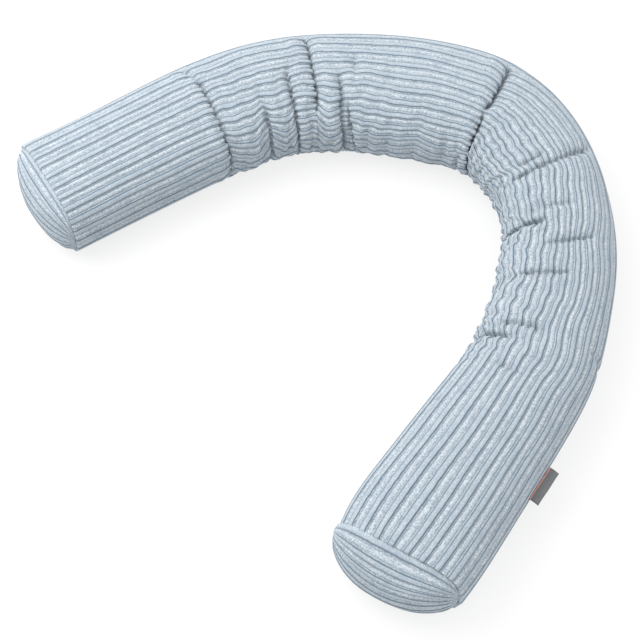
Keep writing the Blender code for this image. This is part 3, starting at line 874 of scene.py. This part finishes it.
def make_end(name, along, outward, crown):
    """A domed disc of the sleeve's own section, its rows along the wales from one side to the other.

    The dome is crown times a power of one minus a power of the share of the way out to the rim.
    """
    pairs = (np.arange(END_PAIRS + 1)[:, None] + wale_marks()[None, :]).ravel()
    within = (pairs > END_SHIFT) & (pairs < END_SHIFT + END_PAIRS)
    pairs = np.concatenate([[END_SHIFT], pairs[within], [END_SHIFT + END_PAIRS]])
    level = 1 - 2 * (pairs[:, None] - pairs[0]) / END_PAIRS
    disc_across = np.sin(np.linspace(-np.pi / 2, np.pi / 2, END_COLUMNS))[None, :]
    flank = np.sqrt(np.clip(1 - disc_across**2, 0, 1))
    disc_up = level * flank
    from_middle = np.clip(np.hypot(disc_up, disc_across), 0, 1)
    turn = np.arctan2(disc_across, -disc_up) / (2 * np.pi)
    rim_across, rim_up, out_across, out_up = even_section(np.interp(turn % 1.0, TURNS, ROUND_SHARES), along)
    rim_across = rim_across - out_across * (EDGE_ROLL + END_RIM_IN)
    rim_up = np.maximum(rim_up - out_up * (EDGE_ROLL + END_RIM_IN), 0.0)
    outer, inner, body_height, _ = body_at(along)
    centre_up = BELOW_WIDEST * body_height
    across = from_middle * rim_across
    up = centre_up + from_middle * (rim_up - centre_up)
    dome = crown * (1 - from_middle**END_CROWN_POWER) ** END_RIM_POWER
    bare = place(along, across, up, outward * (END_EDGE + dome))
    height = wale_rise(pairs)[:, None] * flank**END_RIB_POWER - VALLEY_DROP * flank
    height = height * np.clip((1 - from_middle) / END_RIB_FADE, 0, 1)
    front = bare - outward * grid_normals(bare, closed=False) * height[..., None]
    front[..., 2] = np.maximum(front[..., 2], 0.0)
    rows, columns = from_middle.shape
    last = (rows - 1) * columns
    rim = np.array(list(range(columns)) + list(range(last + columns - 2, last, -1)))
    back = place(along, across.ravel()[rim], up.ravel()[rim], -outward * SEAM_TUCK)
    points = np.vstack([front.reshape(-1, 3), back])
    row, column = np.meshgrid(np.arange(rows - 1), np.arange(columns - 1), indexing="ij")
    corner_rows = np.stack([row, row, row + 1, row + 1], axis=-1).reshape(-1, 4)
    corner_columns = np.stack([column, column + 1, column + 1, column], axis=-1).reshape(-1, 4)
    quad_uv = np.stack([(outer + inner) / 2 * disc_across[0, corner_columns], pairs[corner_rows]], axis=-1)
    faces = (corner_rows * columns + corner_columns).tolist()
    first = rows * columns
    beside = np.roll(np.arange(len(rim)), -1)
    wall = np.column_stack([rim, first + np.arange(len(rim)), first + beside, rim[beside]])
    faces += wall.tolist() + [(first + np.arange(len(rim)))[::-1].tolist()]
    back_uv = np.zeros((4 * len(rim) + len(rim), 2))
    end = add_piece(name, points, faces, np.vstack([quad_uv.reshape(-1, 2), back_uv]))
    merge_points(end)
    if outward > 0:
        end.data.flip_normals()
    return end


left_end = make_end("left_round_end", 0.0, -1.0, LEFT_END_CROWN)
near_end = make_end("near_round_end", SLEEVE_LENGTH, 1.0, NEAR_END_CROWN)
for end, node in ((left_end, "left_end_panel"), (near_end, "near_end_panel")):
    end.data.materials.append(corduroy)
    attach(end, "root")
    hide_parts(node)


# Side label
# A short blank woven ribbon, folded double and caught between two wales of the outer side. It stands
# out of the sleeve and droops a little.
LABEL_LENGTH = 0.060
LABEL_START = LABEL_MIDDLE - LABEL_LENGTH / 2
LABEL_PROUD = 0.016
LABEL_FOLD = 0.0005
LABEL_CLOTH = 0.0005
LABEL_VALLEY = 6
LABEL_SEAT = 0.0008
LABEL_DROOP = 0.25
LABEL_WAVE = 0.0008
LABEL_WAVES = 3
LABEL_FLAT = 0.45
LABEL_BULGE = 1.4
LABEL_ROWS = 25
RIB_PITCH = 0.0009
THREAD_PITCH = 0.0006
SEAM_THREAD = 0.0030
WEAVE_DEPTH = 0.0002
LABEL_GREY = (0.105, 0.110, 0.115, 1.0)
LABEL_THREAD = (0.55, 0.24, 0.19, 1.0)


def make_label():
    """A folded strip: out along one side, round the fold, and back along the other side."""
    around = LABEL_VALLEY / WALE_PAIRS
    station = LABEL_START + LABEL_LENGTH / 2
    across, up, out_across, out_up = even_section(around, station)
    turn = np.linspace(0.0, 1.0, LABEL_ROWS)
    bend = np.clip((turn - LABEL_FLAT) / (1 - 2 * LABEL_FLAT), 0, 1) * np.pi - np.pi / 2
    straight = np.where(turn < 0.5, np.clip(turn / LABEL_FLAT, 0, 1), np.clip((1 - turn) / LABEL_FLAT, 0, 1))
    out = straight * (LABEL_PROUD - LABEL_FOLD - LABEL_CLOTH) + LABEL_FOLD * np.cos(bend) + LABEL_SEAT
    side = LABEL_FOLD * LABEL_BULGE * np.sin(bend) - LABEL_DROOP * out**2 / LABEL_PROUD
    marks = np.linspace(LABEL_START, LABEL_START + LABEL_LENGTH, LABEL_ROWS)
    wave = LABEL_WAVE * np.sin(np.pi * LABEL_WAVES * (marks - LABEL_START) / LABEL_LENGTH)
    wave = wave[:, None] * (out / LABEL_PROUD)[None, :]
    side_across = across + out * out_across - side * out_up
    side_up = up + out * out_up + side * out_across
    grid = place(marks[:, None], side_across[None, :] - wave * out_up, side_up[None, :] + wave, 0.0)
    row, column = np.meshgrid(np.arange(LABEL_ROWS - 1), np.arange(LABEL_ROWS - 1), indexing="ij")
    corners = [(row, column), (row, column + 1), (row + 1, column + 1), (row + 1, column)]
    faces = np.stack([r * LABEL_ROWS + c for r, c in corners], axis=-1).reshape(-1, 4)
    corner_uv = np.stack([np.stack([marks[r], out[c]], axis=-1) for r, c in corners], axis=-2)
    label = add_piece("side_ribbon", grid.reshape(-1, 3), faces.tolist(), corner_uv.reshape(-1, 2))
    solidify = label.modifiers.new("cloth", "SOLIDIFY")
    solidify.thickness = LABEL_CLOTH
    solidify.offset = 0.0
    return label


def make_ribbon():
    """Woven grey ribbon with fine cross ribs and one line of salmon thread beside the seam."""
    material, tree, shader = new_material("grey ribbon")
    cloth = add_node(tree, "ShaderNodeUVMap", {}, uv_map="cloth").outputs["UV"]
    split = add_node(tree, "ShaderNodeSeparateXYZ", {"Vector": cloth})
    ribs = maths(tree, "SINE", maths(tree, "MULTIPLY", split.outputs["X"], 2 * np.pi / RIB_PITCH))
    threads = maths(tree, "SINE", maths(tree, "MULTIPLY", split.outputs["Y"], 2 * np.pi / THREAD_PITCH))
    seam = maths(tree, "LESS_THAN", split.outputs["Y"], SEAM_THREAD)
    tree.links.new(mixed(tree, seam, LABEL_GREY, LABEL_THREAD), shader.inputs["Base Color"])
    weave = maths(tree, "MULTIPLY", ribs, threads)
    bump = add_node(tree, "ShaderNodeBump", {"Height": weave, "Distance": WEAVE_DEPTH, "Strength": 0.6})
    tree.links.new(bump.outputs["Normal"], shader.inputs["Normal"])
    shader.inputs["Roughness"].default_value = 0.6
    return material


label = make_label()
label.data.materials.append(make_ribbon())
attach(label, "root")
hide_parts("side_label")
